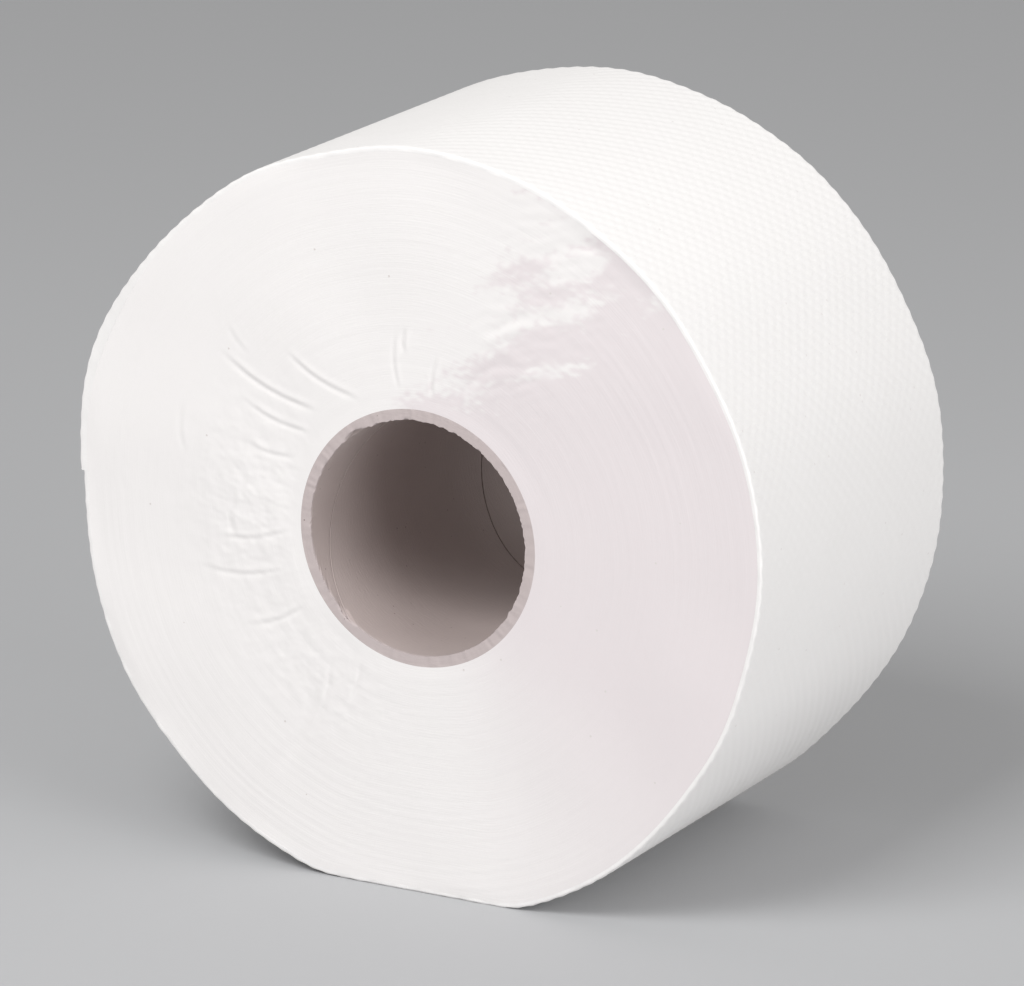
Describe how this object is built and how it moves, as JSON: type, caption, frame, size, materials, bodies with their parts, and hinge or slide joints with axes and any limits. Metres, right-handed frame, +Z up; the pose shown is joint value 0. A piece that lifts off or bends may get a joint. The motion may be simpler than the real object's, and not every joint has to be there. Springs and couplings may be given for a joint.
{
  "type": "toilet paper roll",
  "caption": "Soft wide-core toilet roll lying on its pressed flat, with a cardboard core open right through for a dispenser spindle.",
  "frame": {"origin": "middle of the core's bore, on its axis", "axes": "+Y along the bore, from the front end to the back end; +Z up from the flat that the roll lies on"},
  "size_m": [0.181, 0.1, 0.1799],
  "materials": {
    "tissue": "soft matt, fine embossed",
    "card": "matt grey-beige recycled card"
  },
  "bodies": {
    "root": {"tissue_roll": "tissue", "cardboard_core": "card"}
  },
  "joints": []
}
